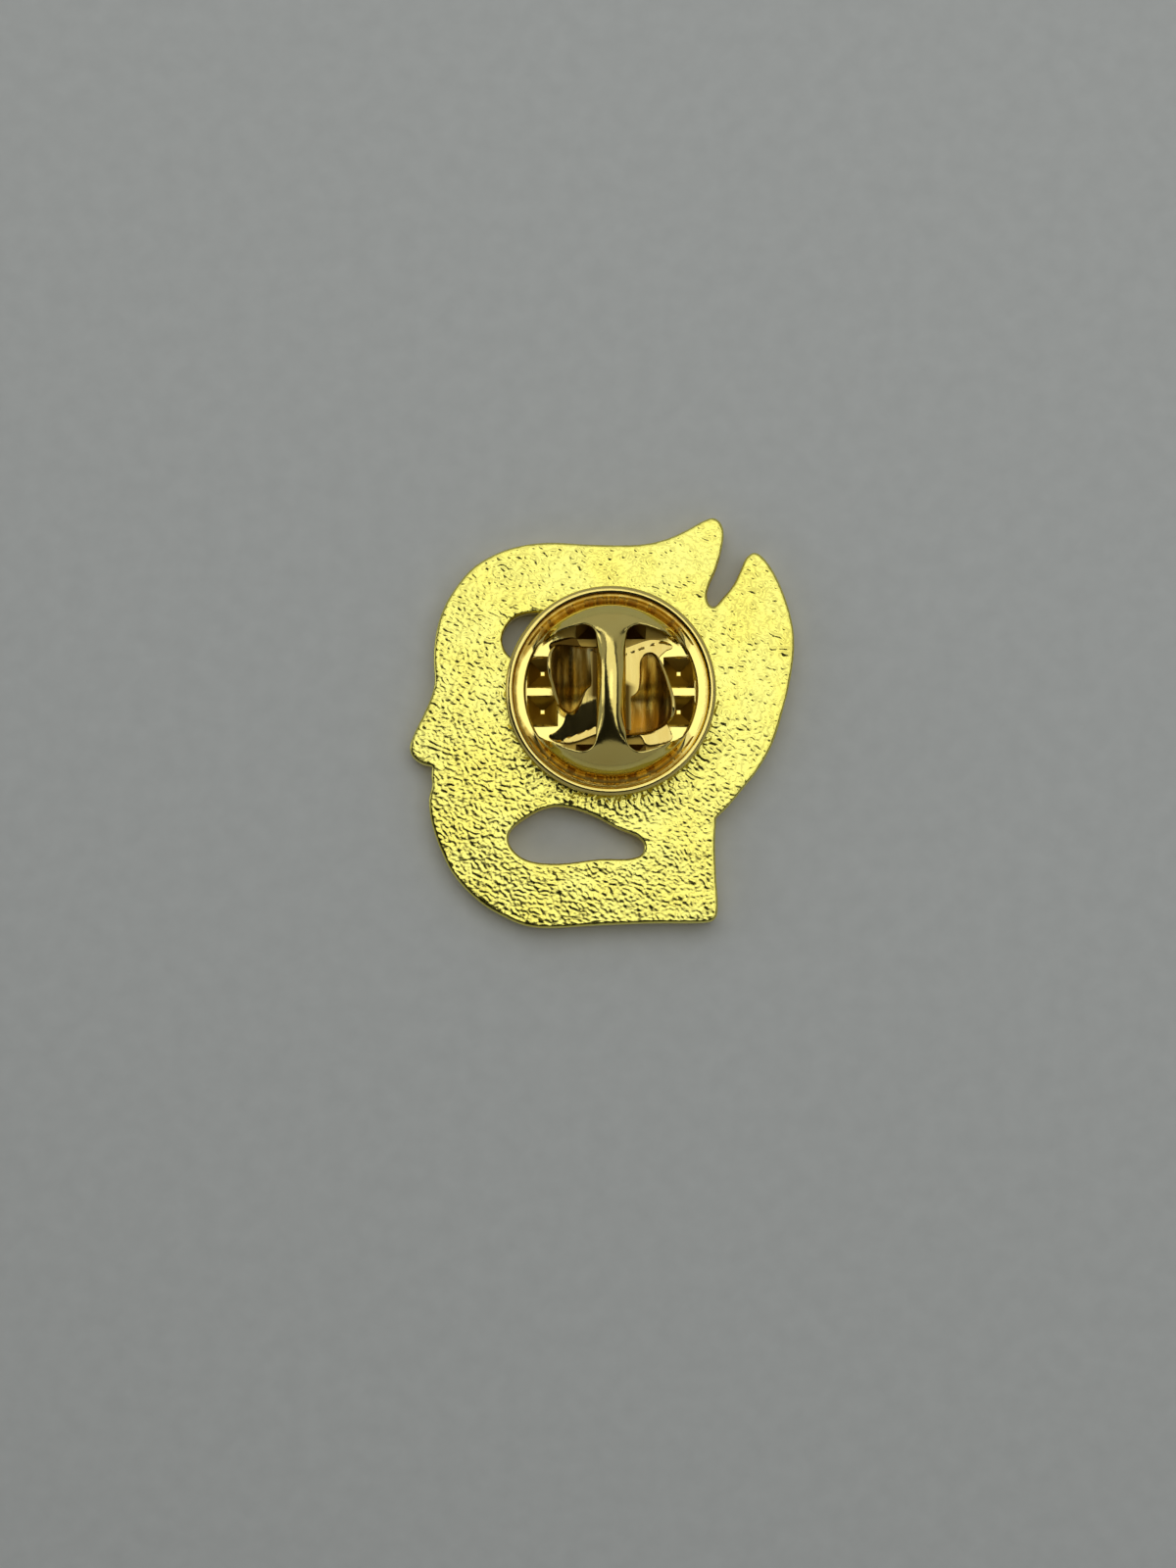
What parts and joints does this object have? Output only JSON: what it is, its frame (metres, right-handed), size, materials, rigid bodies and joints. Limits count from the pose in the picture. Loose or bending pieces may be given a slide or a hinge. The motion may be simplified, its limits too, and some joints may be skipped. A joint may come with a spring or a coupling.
{
  "type": "lapel pin with butterfly clutch",
  "caption": "Die-struck gold-plated lapel pin with a soldered post, held by a domed butterfly clutch whose sprung thumb wings are pinched to slide it off the post.",
  "frame": {"origin": "on the post's axis, in the plane of the front face that the pin lies on", "axes": "+Z out of the textured back along the post, +Y towards the top of the badge, +X to the right as seen from the back"},
  "size_m": [0.0211, 0.0226, 0.0062],
  "materials": {
    "plated_badge": "gold plated, sand-textured back, plain polished front",
    "clutch_brass": "bright stamped brass",
    "spring_brass": "bright stamped spring brass"
  },
  "bodies": {
    "badge": {"plate_and_post": "plated_badge"},
    "clutch": {"clutch_base": "clutch_brass", "clutch_cap": "clutch_brass"},
    "wing_left": {"wing_left": "spring_brass"},
    "wing_right": {"wing_right": "spring_brass"}
  },
  "joints": [
    {"name": "clutch_slide", "type": "slide", "parent": "badge", "child": "clutch", "axis": [0, 0, 1], "range_m": [0, 0.0042]},
    {"name": "wing_left_pinch", "type": "hinge", "parent": "clutch", "child": "wing_left", "pos_m": [-0.0026, 0, 0.00327], "axis": [0, 1, 0], "range_deg": [0, 6], "stiffness_Nm_per_rad": 0.05},
    {"name": "wing_right_pinch", "type": "hinge", "parent": "clutch", "child": "wing_right", "pos_m": [0.0026, 0, 0.00327], "axis": [0, -1, 0], "range_deg": [0, 6], "stiffness_Nm_per_rad": 0.05}
  ]
}
